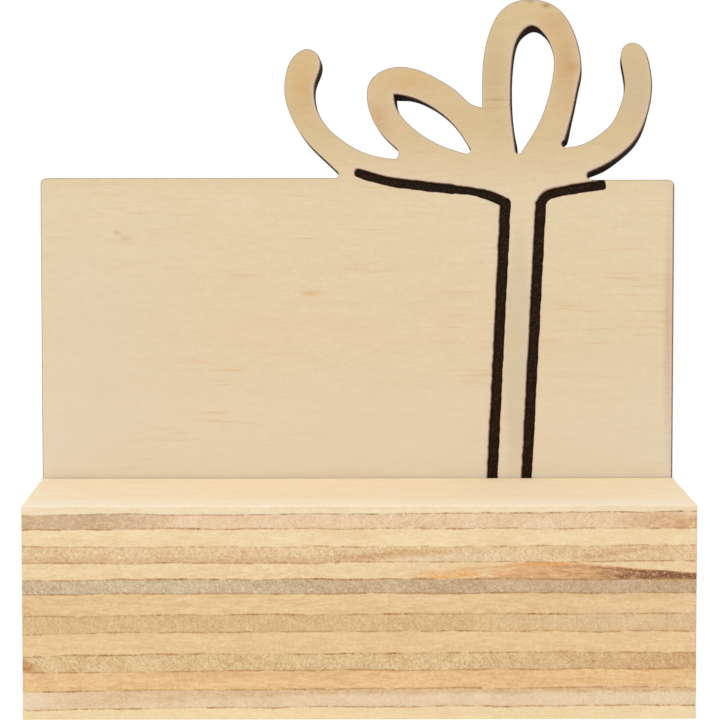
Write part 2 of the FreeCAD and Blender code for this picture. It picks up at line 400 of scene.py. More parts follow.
# Each ply from the top: how its colours run along and across its grain, and its finish
lookNames = ("pale", "deep", "endPale", "endDeep", "bands", "streaks", "speckle", "flecks", "pits", "slant")
plyLooks = [dict(zip(lookNames, row)) for row in [
    ((243, 224, 192), (230, 206, 167), (240, 218, 182), (222, 194, 150), 0.5, 0.7, 0.6, 0.2, 0.1, 0.4),
    ((238, 212, 172), (226, 194, 150), (240, 212, 177), (214, 178, 134), 0.6, 0.6, 0.5, 0.25, 0.3, 0.5),
    ((242, 218, 176), (230, 201, 152), (234, 208, 160), (212, 178, 126), 0.7, 0.95, 0.7, 0.2, 0.2, 0.7),
    ((238, 212, 164), (226, 194, 140), (235, 206, 161), (207, 170, 120), 0.6, 0.6, 0.7, 0.3, 0.3, -0.55),
    ((239, 213, 169), (226, 196, 148), (234, 206, 158), (212, 176, 124), 0.8, 1.25, 0.7, 0.2, 0.2, 0.5),
    ((226, 204, 166), (210, 184, 142), (218, 195, 161), (182, 154, 118), 0.6, 0.6, 0.6, 0.4, 0.2, -0.7),
    ((234, 203, 157), (217, 180, 129), (230, 196, 146), (204, 164, 110), 0.7, 0.95, 0.8, 0.2, 0.2, 0.6),
    ((232, 200, 148), (216, 180, 126), (224, 191, 139), (199, 161, 108), 0.6, 0.6, 0.6, 0.3, 0.12, -0.5),
    ((236, 204, 158), (221, 185, 134), (230, 198, 148), (206, 168, 114), 0.6, 1.0, 0.7, 0.2, 0.15, 0.4),
    ((234, 203, 150), (218, 182, 126), (230, 201, 152), (201, 164, 112), 0.6, 0.6, 0.72, 0.35, 0.4, -0.45),
    ((235, 200, 148), (217, 175, 119), (228, 186, 130), (202, 156, 98), 0.7, 1.0, 0.8, 0.2, 0.2, 0.5),
    ((236, 210, 170), (222, 192, 150), (235, 211, 174), (214, 186, 145), 0.6, 0.5, 0.5, 0.25, 0.3, -0.3),
    ((241, 221, 179), (230, 204, 158), (234, 210, 164), (212, 180, 130), 0.5, 0.8, 0.7, 0.2, 0.2, 0.6),
]]

# Each glue line from the top: its rise over its CAD height at the front's left end, how much it arches in
# the middle, its rise at the right end, how strong it is, how much it breaks up, and dashes as
# (from x, to x, strength)
lineNames = ("left", "middle", "right", "base", "dash", "marks")
glueLines = [dict(zip(lineNames, row)) for row in [
    (0.20, -0.07, 0.59, 0.42, 0.20, [(12.2, 13.0, 1.0), (22, 25, 0.7)]),
    (0.45, 0.15, 0.50, 0.32, 0.45, [(-48, -44, 0.7), (-20, -17, 0.7)]),
    (0.41, -0.16, 0.58, 0.22, 0.30, [(37, 43, 0.5)]),
    (0.27, -0.07, 0.60, 0.26, 0.25, [(35, 46, 0.6)]),
    (0.17, 0.21, 0.19, 0.40, 0.40, [
        (-31.9, -25.2, 1.1), (-7.4, 0.7, 1.1), (3.0, 6.3, 0.85), (7.8, 11.2, 1.1), (16.0, 18.1, 1.0),
        (23.9, 34.0, 0.75), (35.3, 37.2, 0.8), (43, 49, 0.9)]),
    (0.31, 0.05, 0.35, 0.42, 0.30, [(9, 12, 0.8), (32, 36, 0.8)]),
    (0.03, 0.10, 0.40, 0.34, 0.45, [(3.5, 9.5, 0.8), (25.2, 27.9, 1.0), (43.2, 46.9, 1.0), (-14, -8, 0.8)]),
    (-0.01, 0.17, 0.23, 0.34, 0.25, [(-30, -24, 0.6)]),
    (-0.25, 0.18, 0.19, 0.30, 0.50, [
        (4.0, 6.2, 1.25), (13, 15, 0.7), (19, 21, 0.8), (29, 31.5, 0.8), (38.5, 40, 1.0),
        (-44, -40, 0.8)]),
    (-0.06, 0.03, 0.41, 0.42, 0.25, [(-49.5, -46.5, 0.9)]),
    (-0.39, 0.22, 0.16, 0.32, 0.45, [
        (1.5, 2.7, 0.9), (13.8, 17, 0.7), (35, 37, 0.9), (41.8, 42.9, 1.15), (-36, -31, 0.7)]),
    (-0.12, 0.10, 0.40, 0.34, 0.35, [
        (-46.9, -44.5, 0.7), (-41.4, -40.2, 1.0), (-36.2, -35.2, 0.8), (-34.2, -32.4, 1.0),
        (-22, -18, 0.6)]),
]]

woodTones = {
    "shelfPale": (250, 232, 200),
    "shelfDeep": (242, 217, 178),
    # painted highlight along the shelf's front edge
    "paintedRimHighlight": (248, 232, 206),
    "tan": (222, 186, 146),
    "grey": (226, 220, 214),
    "pale": (238, 216, 190),
    "amber": (232, 156, 76),
    "thinGlue": (202, 147, 91),
    "gapingGlue": (120, 79, 47),
}

# Streaks on the front, per ply: the kind, then x, height in the ply, half height and strength along it
streaks = {
    2: [("grey", (-50, -44, -34, -26), (0.5, 0.5, 0.5, 0.5), (0.8, 0.8, 0.8, 0.6), (1.0, 1.0, 0.7, 0.0)),
        ("tan", (36, 42, 50), (0.5, 0.45, 0.3), (0.3, 0.5, 0.5), (0.0, 0.4, 0.5))],
    4: [("tan", (-5, 0, 8, 16), (0.1, 0.3, 0.55, 0.75), (0.25, 0.3, 0.25, 0.15), (0.4, 0.5, 0.4, 0.0)),
        ("tan", (30, 35, 40, 44, 47), (0.15, 0.4, 0.62, 0.85, 0.95), (0.1, 0.18, 0.16, 0.16, 0.06),
         (0.0, 0.4, 0.45, 0.4, 0.0)),
        ("pale", (2, 8, 18, 28), (0.2, 0.28, 0.3, 0.2), (0.12, 0.3, 0.3, 0.1), (0.2, 0.4, 0.35, 0.0))],
    5: [("resin", (5, 9.5, 15.1, 18.4, 24.1, 26, 31.6, 33.7, 35.7, 39.5, 45.1, 50.2),
         (0.3, 0.3, 0.32, 0.35, 0.4, 0.45, 0.42, 0.38, 0.3, 0.2, 0.12, 0.1),
         (0.2, 0.35, 0.5, 0.6, 0.75, 0.75, 0.7, 0.62, 0.54, 0.46, 0.38, 0.3),
         (0.0, 0.16, 0.22, 0.26, 0.38, 0.44, 0.5, 0.6, 0.72, 0.88, 1.04, 1.12)),
        ("resin", (30, 33.5, 37.2, 40.6, 45.2, 50.2), (0.88, 0.80, 0.63, 0.48, 0.40, 0.28),
         (0.05, 0.06, 0.06, 0.07, 0.08, 0.08), (0.0, 0.7, 0.95, 1.15, 1.25, 1.25)),
        ("amber", (21, 24, 26, 30, 33), (0.7, 0.85, 0.94, 0.95, 0.97), (0.07, 0.12, 0.12, 0.1, 0.05),
         (0.0, 0.5, 1.0, 1.0, 0.0)),
        ("amber", (7.5, 11, 16, 19.5), (0.2, 0.25, 0.32, 0.4), (0.1, 0.22, 0.25, 0.12), (0.0, 0.8, 1.0, 0.0)),
        ("amber", (18, 20, 24), (0.4, 0.45, 0.55), (0.1, 0.2, 0.1), (0.0, 0.45, 0.0))],
    6: [("tan", (-20, 0, 50), (0.5, 0.5, 0.5), (1.0, 1.0, 1.0), (0.0, 0.22, 0.35))],
    7: [("tan", (-50, -48.6, -47.4), (0.45, 0.4, 0.3), (0.5, 0.4, 0.2), (0.2, 0.18, 0.0))],
    8: [("pale", (15, 30, 50), (0.6, 0.6, 0.6), (0.4, 0.5, 0.5), (0.0, 0.25, 0.25))],
    10: [("tan", (-50, -48.8, -47.8, -46.4), (0.42, 0.38, 0.25, 0.2), (0.45, 0.35, 0.25, 0.15),
          (0.85, 0.75, 0.4, 0.0)),
         ("tan", (15, 50), (0.5, 0.5), (1.0, 1.0), (0.0, 0.42))],
    12: [("pale", (-50.5, -49, -47, -45), (0.5, 0.5, 0.5, 0.5), (0.5, 0.5, 0.4, 0.1), (0.8, 0.8, 0.6, 0.0)),
         ("tan", (-46, -42, -30, -10, 50), (0.6, 0.6, 0.7, 0.9, 0.95), (0.4, 0.5, 0.4, 0.25, 0.2),
          (0.0, 0.22, 0.2, 0.3, 0.45)),
         ("pale", (-20, 0, 50), (0.35, 0.35, 0.35), (0.2, 0.3, 0.3), (0.0, 0.3, 0.25))],
}


def wallPath(low, high, steps):
    # straight sides joined by quarter circles, anticlockwise from above from the front left corner:
    # places, outward directions and the run along the path
    radius = block["cornerRadius"]
    corners = np.array([(low[0], low[1]), (high[0], low[1]), (high[0], high[1]), (low[0], high[1])])
    centres = corners + radius * np.array([(1, 1), (-1, 1), (-1, -1), (1, -1)])
    places, facings = [], []
    for side in range(4):
        turn = np.radians(np.linspace(180, 270, 5) + 90 * side)
        facing = np.stack([np.cos(turn), np.sin(turn)], 1)
        arc = centres[side] + radius * facing
        following = centres[(side + 1) % 4] + radius * facing[-1]
        count = max(2, int(round(np.hypot(*(following - arc[-1])) / steps[side])))
        share = np.linspace(0, 1, count + 1)[1:-1, None]
        places += [arc, arc[-1] * (1 - share) + following * share]
        facings += [facing, np.repeat(facing[-1:], count - 1, 0)]
    place, facing = np.concatenate(places), np.concatenate(facings)
    return place, facing, runAlong(place)


def seamHeight(number, x, y):
    # height of a glue line over its CAD height: a tilt, an arch and two waves on the front, a tilt and a
    # wave on the back, and on the block's ends a wave. All of them die out towards the slot
    if number in (0, len(plyLooks)):
        return np.zeros_like(x)
    line = glueLines[number - 1]
    share = (x - block["left"]) / (block["right"] - block["left"])
    wave = block["waveHeight"] * ripple(x, block["waveLength"], 100 + number)
    wave += block["fineWaveHeight"] * ripple(x, block["fineWaveLength"], 200 + number)
    arch = line["middle"] * 4 * share * (1 - share)
    ahead = line["left"] * (1 - share) + line["right"] * share + arch + wave
    lean = block["backTilt"] * np.sin(number * 2.3)
    backWave = block["waveHeight"] * ripple(x, block["backWaveLength"], 300 + number)
    behind = lean * (1 - 2 * share) + backWave
    across = block["endWaveHeight"] * ripple(y, block["endWaveLength"], 400 + number)
    atFront = smoothStep(y, block["slotFront"] - block["waveStop"], block["front"])
    atBack = smoothStep(y, block["slotBack"] + block["waveStop"], block["back"])
    return (ahead + across) * atFront + (behind + across) * atBack


def seamStrength(number, x, y, run):
    # darkness of a glue line: a base, random dashes, and the dashes listed for the front
    if number in (0, len(plyLooks)):
        return np.zeros_like(x)
    line = glueLines[number - 1]
    dashes = smoothStep(ripple(run, 2.6, 500 + number) + 0.6 * ripple(run, 0.7, 600 + number), 0.2, 0.9)
    strength = line["base"] * (1 + 0.8 * ripple(run, 1.3, 700 + number)) + line["dash"] * dashes
    onFront = y < block["front"] + 0.5
    for start, end, dark in line["marks"]:
        inside = smoothStep(x, start - 0.4, start + 0.4) * smoothStep(x, end + 0.4, end - 0.4)
        inside *= 0.85 + 0.25 * ripple(x, 0.8, 800 + number)
        strength = np.where(onFront, np.maximum(strength, dark * inside), strength)
    return strength


def plyRows(thickness, freeTop, freeBottom, ease):
    # rows of the wall from its top edge to its bottom edge: share of the thickness, inset where the edge
    # is rounded, how much of a seam is there, and how much it faces up or down
    near, fade = np.array(block["seamRows"]), np.array(block["seamFade"])
    none = np.zeros(len(near))
    turn = np.radians(np.linspace(0, 90, len(near) - 1))

    def edge(free):
        if free:
            drop = np.append(1 - np.cos(turn), block["plainRow"])
            return drop, np.append(1 - np.sin(turn), 0), none, np.append(np.cos(turn), 0)
        return near, none, fade, none

    top, bottom = edge(freeTop), edge(freeBottom)
    topDrop = top[0][:, None] * (ease if freeTop else 1.0) / thickness
    bottomDrop = 1 - bottom[0][::-1][:, None] * (ease if freeBottom else 1.0) / thickness
    topDrop = np.broadcast_to(topDrop, (len(near), len(ease)))
    bottomDrop = np.broadcast_to(bottomDrop, (len(near), len(ease)))
    middleCount = max(2, int(thickness / block["rowStep"]) - 2)
    share = np.linspace(0, 1, middleCount + 2)[1:-1, None]
    middle = topDrop[-1] * (1 - share) + bottomDrop[0] * share
    drops = np.concatenate([topDrop, middle, bottomDrop])
    blank = np.zeros(middleCount)
    inset = np.concatenate([top[1], blank, bottom[1][::-1]])
    seamTop = np.concatenate([top[2], blank, none])
    seamBottom = np.concatenate([none, blank, bottom[2][::-1]])
    level = np.concatenate([top[3], blank, bottom[3][::-1]])
    return drops, inset, seamTop, seamBottom, level


def streakMarks(number, x, y, height):
    # strength of each kind of streak at a place on the front, fading with depth round the corners
    marks = {kind: np.zeros_like(height) for kind in ("tan", "pale", "grey", "amber", "resin")}
    depth = np.exp(-np.clip(y - block["front"], 0, None) / block["streakFade"])
    for kind, xs, heights, halves, strengths in streaks.get(number, []):
        middle, half = np.interp(x, xs, heights), np.interp(x, xs, halves)
        middle = middle + 0.06 * ripple(x, 3.0, 900 + number)
        strength = np.interp(x, xs, strengths) * depth
        mask = strength * smoothStep(np.abs(height - middle) / half, 1.2, 0.55)
        marks[kind] = np.maximum(marks[kind], mask)
    return marks


def closeWall(wall, place, low, high):
    # the wall's grid of points as quads, with a cap at each end: a rim that brings the wavy edge to the flat
    # glue face, then a fan to the middle
    rows, columns = wall.shape[:2]
    centre = (low[:2] + high[:2]) / 2
    shrink = 1 - block["capRim"] / ((high[:2] - low[:2]) / 2)
    rim = centre + (place - centre) * shrink
    topRim = np.column_stack([rim, np.full(columns, high[2])])
    bottomRim = np.column_stack([rim, np.full(columns, low[2])])
    middles = np.array([[*centre, high[2]], [*centre, low[2]]])
    points = np.concatenate([wall.reshape(-1, 3), topRim, bottomRim, middles])
    here = np.arange(columns)
    there = (here + 1) % columns
    grid = np.arange(rows - 1)[:, None] * columns
    quads = np.stack([grid + here, grid + columns + here, grid + columns + there, grid + there], 2)
    lastRow, topRow, bottomRow = (rows - 1) * columns, rows * columns, (rows + 1) * columns
    topMiddle, bottomMiddle = np.full(columns, len(points) - 2), np.full(columns, len(points) - 1)
    faces = quads.reshape(-1, 4).tolist()
    faces += np.stack([topRow + here, here, there, topRow + there], 1).tolist()
    faces += np.stack([lastRow + here, bottomRow + here, bottomRow + there, lastRow + there], 1).tolist()
    faces += np.stack([topRow + here, topRow + there, topMiddle], 1).tolist()
    faces += np.stack([bottomRow + there, bottomRow + here, bottomMiddle], 1).tolist()
    return points, faces


def buildPly(number, name, material, rear=False):
    # a ply or a strip of one: the wall between its two glue lines, sunk where its edges are rounded, at its
    # glue lines and by the saw's fine roughness, and a cap on each side
    low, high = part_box(name)
    low, high = np.array(low) / mm, np.array(high) / mm
    slotted = name.endswith("_strip")
    steps = [block["frontStep"], block["sideStep"], block["sideStep"], block["sideStep"]]
    place, facing, run = wallPath(low, high, steps)
    x, y = place[:, 0], place[:, 1]
    toSlot = np.minimum(np.abs(y - block["slotFront"]), np.abs(y - block["slotBack"]))
    last = len(plyLooks)
    outerEase = block["footEase"] if number == last else block["outerEase"]
    ease = np.where((toSlot < block["slotReach"]) & slotted, block["slotEase"], outerEase)
    ease = ease * (1 + 0.15 * ripple(run, 4.0, number))
    drops, inset, seamTop, seamBottom, level = plyRows(high[2] - low[2], number == 1, number == last, ease)
    onTop = seamStrength(number - 1, x, y, run)
    onBottom = seamStrength(number, x, y, run)
    glue = seamTop[:, None] * onTop + seamBottom[:, None] * onBottom
    topZ = high[2] + seamHeight(number - 1, x, y)
    bottomZ = low[2] + seamHeight(number, x, y)
    z = topZ * (1 - drops) + bottomZ * drops
    crossGrain = number % 2 == 0
    endOn = np.abs(facing[:, 1] if crossGrain else facing[:, 0]) * (1 - level[:, None])
    rough = np.random.default_rng(number * 10 + rear).normal(0, 1, z.shape)
    rough = (rough + np.roll(rough, 1, 1) + np.roll(rough, 1, 0)) / 3
    relief = np.abs(rough) * (0.008 + 0.022 * endOn) * (level[:, None] == 0)
    sunk = inset[:, None] * ease + glue * block["seamDepth"] + relief
    # an inset deeper than the corner's radius ends at the inset sides' own corner
    wallX = np.clip(x - facing[:, 0] * sunk, low[0] + sunk, high[0] - sunk)
    wallY = np.clip(y - facing[:, 1] * sunk, low[1] + sunk, high[1] - sunk)
    wall = np.stack([wallX, wallY, z], 2)
    points, faces = closeWall(wall, place, low, high)
    caps = len(points) - z.size

    def withCaps(values, onCaps):
        return np.concatenate([np.broadcast_to(values, z.shape).ravel(), np.full(caps, onCaps)])

    marks = {"endOn": withCaps(endOn, 0.0), "glue": withCaps(glue, 0.0)}
    marks["level"] = withCaps(level[:, None], 1.0)
    for kind, values in streakMarks(number, x, y, 1 - drops).items():
        marks[kind] = withCaps(values, 0.0)
    return makePiece("wood_" + name, points, faces, marks, material, "block", [name])


def plyMaterial(number, look):
    # long grain and end grain by the wall's mark, the warm shelf on the outer plies with a painted highlight
    # at its front edge, streaks, resin and glue
    material, tree, shader, place = newMaterial("ply %02d" % number)
    turn = (0.0, 0.0, math.radians(90)) if number % 2 == 0 else (0.0, 0.0, 0.0)
    along = stretched(tree, place, (1, 1, 1), turn)
    plain = useGroup(tree, longGrain, {
        "Vector": along, "Pale": tone(look["pale"]), "Deep": tone(look["deep"]), "Bands": look["bands"],
        "Streaks": look["streaks"], "Seed": 0.1 * number})
    cross = useGroup(tree, endGrain, {
        "Vector": place, "Pale": tone(look["endPale"]), "Deep": tone(look["endDeep"]),
        "Speckle": look["speckle"], "Flecks": look["flecks"], "Pits": look["pits"],
        "Slant": look["slant"], "Seed": 0.1 * number})
    endOn = readMark(tree, "endOn")
    colour = mixColour(tree, endOn, plain["Color"], cross["Color"])
    height = mixValue(tree, endOn, calc(tree, "MULTIPLY", plain["Height"], 0.35), cross["Height"])
    if number in (1, len(plyLooks)):
        warm = useGroup(tree, longGrain, {
            "Vector": along, "Pale": tone(woodTones["shelfPale"]), "Deep": tone(woodTones["shelfDeep"]),
            "Bands": 0.6, "Streaks": 0.5, "Seed": 0.7})
        inward = addNode(tree, "SeparateXYZ", {}, {0: place}).outputs[1]
        # painted highlight: the shelf turns paler towards its front edge
        rim = block["front"] + block["paintedHighlightReach"]
        paintedHighlightShare = between(tree, inward, rim * mm, (rim + block["paintedHighlightFade"]) * mm, 0.75, 0.0)
        shelf = mixColour(tree, paintedHighlightShare, warm["Color"], tone(woodTones["paintedRimHighlight"]))
        colour = mixColour(tree, readMark(tree, "level"), colour, shelf)
    torn = drawnCloud(tree, place, (900, 900, 2000), 0.32, 0.66, 3, 0.65, 0.8)

    def tornMark(kind, gain, base):
        return calc(tree, "MULTIPLY", readMark(tree, kind), calc(tree, "MULTIPLY_ADD", torn, gain, base))

    for kind in ("tan", "grey"):
        colour = tinted(tree, tornMark(kind, 1.0, 0.5), colour, tone(woodTones[kind]))
    colour = mixColour(tree, tornMark("pale", 0.7, 0.3), colour, tone(woodTones["pale"]))
    amber = tornMark("amber", 0.9, 0.1)
    colour = useGroup(tree, resinStreak, {
        "Vector": place, "Color": colour, "Resin": readMark(tree, "resin")})["Color"]
    colour = mixColour(tree, amber, colour, tone(woodTones["amber"]))
    seam = useGroup(tree, glueSeam, {
        "Vector": place, "Color": colour, "Glue": readMark(tree, "glue"),
        "Thin": tone(woodTones["thinGlue"]), "Gaping": tone(woodTones["gapingGlue"])})
    height = calc(tree, "SUBTRACT", height, seam["Mask"])
    roughness = between(tree, height, 0.0, 1.0, 0.72, 0.58)
    finishSurface(tree, shader, seam["Color"], roughness, height, 0.00006)
    return material


for number, look in enumerate(plyLooks, 1):
    material = plyMaterial(number, look)
    name = "block_ply_%02d" % number
    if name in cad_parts:
        buildPly(number, name, material)
    else:
        buildPly(number, name + "_front_strip", material)
        buildPly(number, name + "_rear_strip", material, rear=True)
print("stage: block plies made")


panel = {
    "left": packedEdge("panel_front_veneer", 0, 0),
    "right": packedEdge("panel_front_veneer", 1, 0),
    "foot": packedEdge("panel_front_veneer", 0, 2),
    "front": packedEdge("panel_front_veneer", 0, 1),
    "back": packedEdge("panel_back_veneer", 1, 1),
    "rise": 47.4,              # top edge over the block
    "shoulderDrop": 0.3,       # how much lower the top edge is at the right of the bow
    "cornerRadius": 1.0,
    "cutDrop": 0.76,           # the cut leans down and to the right from front to back
    "cutDrift": 0.43,
    "driftFade": 22.0,         # the drift dies out over this last stretch on the right
    "wobbles": [               # where the cut leans otherwise: x, z, reach, added drift, lost drop
        (-6.7, 93.6, 5.0, -0.27, 0.0), (12.2, 89.8, 5.5, 0.1, 0.17), (5.9, 92.0, 1.6, 0.08, -0.3),
        (24.4, 96.4, 5.0, -0.1, 0.0), (25.0, 101.2, 2.0, -0.08, 0.17), (27.1, 103.0, 1.5, 0.0, -0.2),
        (29.7, 101.0, 2.0, 0.05, 0.12), (24.9, 84.9, 1.5, 0.17, 0.0), (32.9, 85.9, 1.8, 0.2, 0.0),
        (4.7, 84.9, 3.0, 0.1, 0.1), (44.4, 85.1, 4.5, 0.15, -0.05), (38.1, 81.0, 3.0, 0.08, -0.2),
    ],
    "bowInset": 3.6,           # from the bow's right end to the panel's
    "bowWidth": 57.7,
    "bowHeight": 27.9,
    "edgeStep": 0.2,           # spacing of points along a curved cut, an arc and a straight cut
    "arcStep": 0.12,
    "straightStep": 0.4,
    "footPoints": 60,
    "wallRows": (0.35, 0.7),   # rows of the cut's wall between front and back
    "rings": [(0.12, 1), (0.3, 1), (0.6, 2)],           # rows beside a cut: distance, every how many points
    "meshStep": 0.9,           # grid over the rest of a face
    "gridAway": 0.95,          # how far the grid stays from a cut
    "nearest": 0.93,           # share of its distance that a point must keep from every cut
    "headWidth": 1.35,         # burnt ribbon lines
    "legWidth": 1.53,
    "lineDepth": 0.3,
    "lineSlope": 0.16,
    "headStep": 0.3,
    "legStart": 0.3,           # the leg's points start this far below the turn
    "legStep": 0.35,
    "legOverrun": 2.0,         # and first run past the foot by this much
    "cornerGap": 0.15,         # least distance along the leg from the inner corner to the next point
    "footGap": 0.2,            # and from a side's last free point to the foot
    "lineWaves": [(0.045, 1.1, 0), (0.03, 0.45, 9)],    # height, length and added seed
    "legWavesFrom": 60.0,
    "burnReach": 0.14,         # width of the burn on a face, and what the upper left sides add to it
    "burnMore": 0.36,
    "smokeReach": 0.42,        # over this distance the smoke falls to about a third
    "smokeSide": (-0.64, 0.77),                         # where the wood lies from a cut that smokes it most
    "bowTone": (75.0, 89.0),   # the bow's deeper tan sets in between these heights
    "footTone": (58.0, 32.0),  # and the foot's paler tone between these
}
panel["top"] = block["top"] + panel["rise"]
panel["shoulder"] = panel["top"] - panel["shoulderDrop"]
panel["bowLeft"] = panel["right"] - panel["bowInset"] - panel["bowWidth"]

# The bow's outline as shares of its width and height, from the notch at its left round to the right
bowStart = (0.141, 0.000)
bowRuns = [
    [(0.148, 0.016), (0.144, 0.035)],
    [(0.116, 0.091), (0.089, 0.143), (0.060, 0.207), (0.034, 0.284), (0.014, 0.371), (0.002, 0.464),
     (0.003, 0.560), (0.019, 0.661), (0.041, 0.708), (0.063, 0.723), (0.081, 0.712), (0.096, 0.676),
     (0.100, 0.630), (0.093, 0.574), (0.085, 0.526), (0.083, 0.464), (0.090, 0.385), (0.109, 0.308),
     (0.150, 0.224), (0.205, 0.153), (0.254, 0.120), (0.303, 0.106)],
    [(0.311, 0.131), (0.305, 0.166)],
    [(0.268, 0.239), (0.236, 0.351), (0.225, 0.458), (0.231, 0.532), (0.260, 0.594), (0.314, 0.623),
     (0.369, 0.603), (0.423, 0.549), (0.478, 0.470), (0.505, 0.419), (0.538, 0.395)],
    [(0.538, 0.492), (0.539, 0.605), (0.546, 0.729), (0.560, 0.831), (0.587, 0.932), (0.620, 0.982),
     (0.669, 0.9998), (0.710, 0.987), (0.751, 0.935), (0.784, 0.831), (0.803, 0.707), (0.807, 0.594),
     (0.800, 0.521), (0.789, 0.409), (0.776, 0.296), (0.764, 0.210)],
    [(0.757, 0.187), (0.770, 0.171)],
    [(0.806, 0.185), (0.833, 0.210), (0.861, 0.249), (0.888, 0.300), (0.915, 0.413), (0.925, 0.520),
     (0.918, 0.622), (0.915, 0.695), (0.923, 0.736), (0.945, 0.758), (0.970, 0.738), (0.992, 0.644),
     (1.000, 0.526), (0.997, 0.436), (0.984, 0.328), (0.957, 0.214), (0.913, 0.124), (0.872, 0.069),
     (0.832, 0.032)],
]
bowEnd = (0.826, 0.010)
bowEndFoot = 0.837
smallHole = [
    [(0.299, 0.468), (0.317, 0.464), (0.363, 0.438), (0.418, 0.375), (0.460, 0.301), (0.487, 0.226),
     (0.502, 0.174)],
    [(0.502, 0.174), (0.506, 0.149), (0.495, 0.136)],
    [(0.495, 0.136), (0.451, 0.163), (0.396, 0.214), (0.347, 0.286), (0.314, 0.362), (0.302, 0.419),
     (0.299, 0.468)],
]
bigHole = [
    [(0.646, 0.148), (0.669, 0.221), (0.697, 0.328), (0.716, 0.438), (0.730, 0.571), (0.733, 0.650),
     (0.723, 0.746), (0.701, 0.819), (0.673, 0.852), (0.646, 0.814), (0.627, 0.735), (0.619, 0.628),
     (0.616, 0.481), (0.618, 0.357), (0.623, 0.261), (0.630, 0.152)],
    [(0.630, 0.152), (0.636, 0.137), (0.646, 0.148)],
]

# The burnt ribbon lines: the head's path as shares of the bow, how much it swells or thins at shares of
# its width, how far the leg drifts left on its way down to the block, and how blunt the head's end is
ribbonLines = [
    {"shares": [(0.204, 0.026), (0.260, -0.009), (0.314, -0.031), (0.369, -0.044), (0.423, -0.057),
                (0.478, -0.068), (0.533, -0.086), (0.566, -0.107), (0.603, -0.141)],
     "swell": [(0.204, -0.1), (0.26, -0.06), (0.33, 0.0), (0.42, 0.05), (0.458, 0.09), (0.468, -0.17),
               (0.5, -0.26), (0.533, -0.14), (0.56, 0.02), (0.603, 0.1)],
     "drift": 1.94, "bluntness": 0.85},
    {"shares": [(0.863, -0.042), (0.833, -0.050), (0.779, -0.068), (0.740, -0.084), (0.713, -0.105),
                (0.699, -0.148)],
     "swell": [(0.699, 0.06), (0.74, 0.0), (0.863, 0.04)], "drift": 2.06, "bluntness": 0.5},
]

# Tones over the face, then each veneer: its grain, its burn, how strong its smoke is, the seed of its
# pattern and the turn of its grain in degrees
panelTones = {
    "bow": (241, 233, 217),
    "foot": (230, 219, 200),
    "dash": (219, 184, 132),
}
veneerLooks = {
    "front": {
        "pale": (232, 213, 180), "deep": (217, 196, 160), "brown": (146, 104, 66), "black": (26, 16, 9),
        "smoke": 0.9, "seed": 3.1, "turn": 0},
    "core": {
        "pale": (224, 198, 156), "deep": (206, 176, 132), "brown": (112, 76, 46), "black": (28, 18, 10),
        "smoke": 0.5, "seed": 5.3, "turn": 90},
    "back": {
        "pale": (230, 210, 174), "deep": (212, 188, 148), "brown": (132, 92, 54), "black": (27, 17, 10),
        "smoke": 1.0, "seed": 8.2, "turn": 0},
}

# Marks on the panel's face: x, z, half width, half height, the share inside which it is full, or below 0
# for one that is nowhere full, its colour and its strength
panelMarks = [
    (-37.9, 71.0, 1.1, 0.55, -0.2, (198, 166, 118), 0.8),
    (-36.6, 70.1, 1.4, 0.8, -0.3, (206, 174, 124), 0.7),
    (-7.4, 61.4, 2.6, 0.9, -0.3, (214, 178, 124), 0.8),
    (-34.4, 74.0, 2.8, 0.24, -0.3, (214, 176, 122), 0.7),
    (-26.9, 73.7, 4.6, 0.22, -0.3, (216, 180, 128), 0.6),
    (-8.4, 70.0, 4.2, 0.22, -0.3, (214, 176, 122), 0.7),
    (-17.4, 64.2, 3.8, 0.34, -0.3, (218, 180, 126), 0.7),
    (22.3, 68.5, 3.4, 0.2, -0.3, (206, 172, 124), 0.6),
    # painted shade: a broad, greyer patch over the panel's left part
    (-42.0, 50.0, 26.0, 40.0, -0.3, (222, 209, 186), 0.5),
    (32.6, 97.5, 3.6, 11.0, -0.5, (196, 146, 94), 0.66),
    (33.8, 96.8, 2.0, 1.5, -0.2, (198, 130, 80), 0.5),
    (34.0, 91.0, 1.7, 4.0, -0.4, (202, 146, 102), 0.5),
    (30.5, 103.5, 3.4, 4.5, -0.4, (204, 156, 98), 0.5),
    (43.5, 93.0, 5.0, 10.0, -0.3, (194, 178, 154), 0.5),
    (21.3, 95.5, 3.4, 9.5, -0.4, (192, 166, 132), 0.55),
    (21.8, 98.4, 2.6, 0.4, -0.2, (204, 166, 124), 0.45),
    (21.6, 94.4, 2.8, 0.45, -0.2, (202, 162, 124), 0.45),
    (21.3, 93.1, 2.4, 0.3, -0.2, (200, 160, 122), 0.35),
    (29.5, 106.5, 1.2, 0.7, -0.3, (136, 100, 72), 0.6),
    (27.0, 107.2, 1.0, 0.6, -0.3, (120, 84, 70), 0.5),
    (-8.5, 94.0, 4.0, 8.5, -0.4, (206, 160, 98), 0.62),
    (8.0, 94.8, 6.5, 3.2, -0.4, (212, 166, 104), 0.58),
    (3.2, 88.6, 3.0, 5.0, -0.4, (190, 140, 104), 0.5),
    (21.4, 91.8, 3.6, 0.4, -0.2, (180, 142, 110), 0.6),
    (20.9, 90.5, 2.8, 0.28, -0.2, (190, 150, 114), 0.45),
    (24.1, 91.2, 0.5, 0.9, 0.0, (40, 26, 20), 0.85),
    # painted shade: a soft brownish gradient along the panel's right edge
    (49.0, 56.0, 1.2, 27.0, 0.0, (206, 164, 136), 0.6),
    (25.2, 52.0, 2.9, 24.0, 0.5, (202, 188, 160), 0.5),
]


def bowPoint(share):
    # a share of the bow's width and height as a place
    return (panel["bowLeft"] + share[0] * panel["bowWidth"], panel["top"] + share[1] * panel["bowHeight"])


